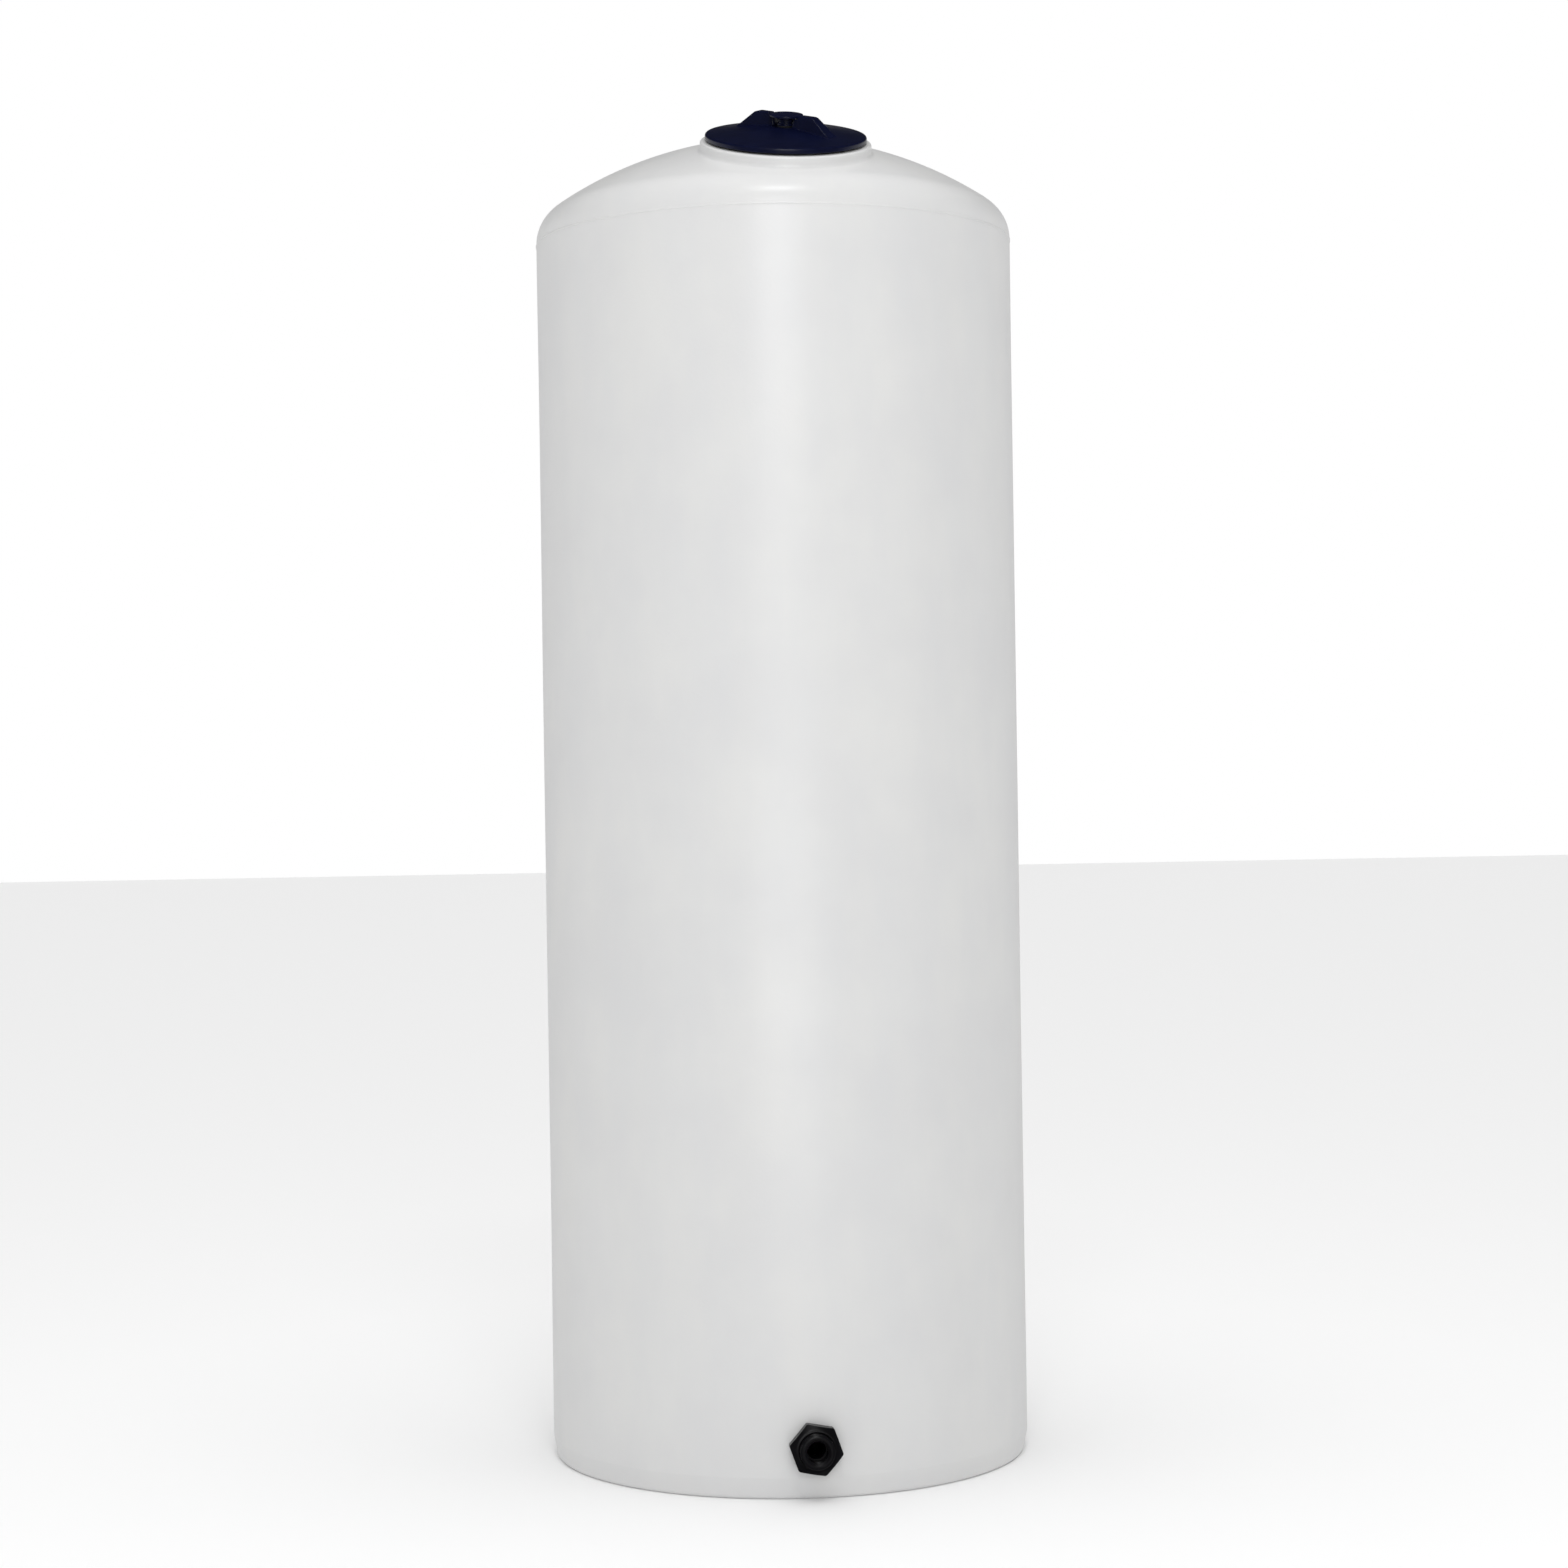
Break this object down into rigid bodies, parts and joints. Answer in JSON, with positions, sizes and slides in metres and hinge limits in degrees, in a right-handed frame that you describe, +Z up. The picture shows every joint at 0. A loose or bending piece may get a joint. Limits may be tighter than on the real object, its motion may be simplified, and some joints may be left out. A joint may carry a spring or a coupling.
{
  "type": "vertical plastic liquid storage tank",
  "caption": "Tall upright round plastic tank with a domed top, a screw lid with grip wings and a breather on a sloping neck, and a threaded outlet low on the wall.",
  "frame": {"origin": "centre of the flat base, on the surface that the tank stands on", "axes": "+Z up along the tank's axis; -Y towards the outlet fitting and the sloping neck; +X to the right, seen from the outlet"},
  "size_m": [0.7016, 0.7356, 1.9406],
  "materials": {
    "natural_polyethylene": "satin, rotationally moulded, slightly translucent",
    "navy_plastic": "satin moulded polypropylene",
    "black_polypropylene": "satin moulded polypropylene",
    "seal_rubber": "matt EPDM",
    "screen_mesh": "perforated stainless disc"
  },
  "bodies": {
    "tank": {"tank_shell": "natural_polyethylene", "outlet_body": "black_polypropylene", "outlet_inner_gasket": "seal_rubber", "outlet_outer_washer": "seal_rubber", "outlet_nut": "black_polypropylene"},
    "seal": {"lid_seal": "seal_rubber"},
    "lid": {"lid": "navy_plastic", "breather_body": "navy_plastic", "breather_gasket": "seal_rubber", "breather_nut": "navy_plastic", "breather_screen": "screen_mesh"},
    "breather_cap": {"breather_cap": "navy_plastic"}
  },
  "joints": [
    {"name": "lid_lift", "type": "slide", "parent": "tank", "child": "seal", "axis": [0, -0.3665, 0.9304], "range_m": [0, 0.027]},
    {"name": "lid_turn", "type": "hinge", "parent": "seal", "child": "lid", "pos_m": [0, -0.21, 1.88939], "axis": [0, -0.3665, 0.9304], "range_deg": [0, 1080]},
    {"name": "breather_lift", "type": "slide", "parent": "lid", "child": "breather_cap", "axis": [0, -0.3665, 0.9304], "range_m": [0, 0.005]}
  ],
  "couplings": [
    {"joint": "lid_lift", "follows": "lid_turn", "m_per_rad": 0.0014324}
  ]
}
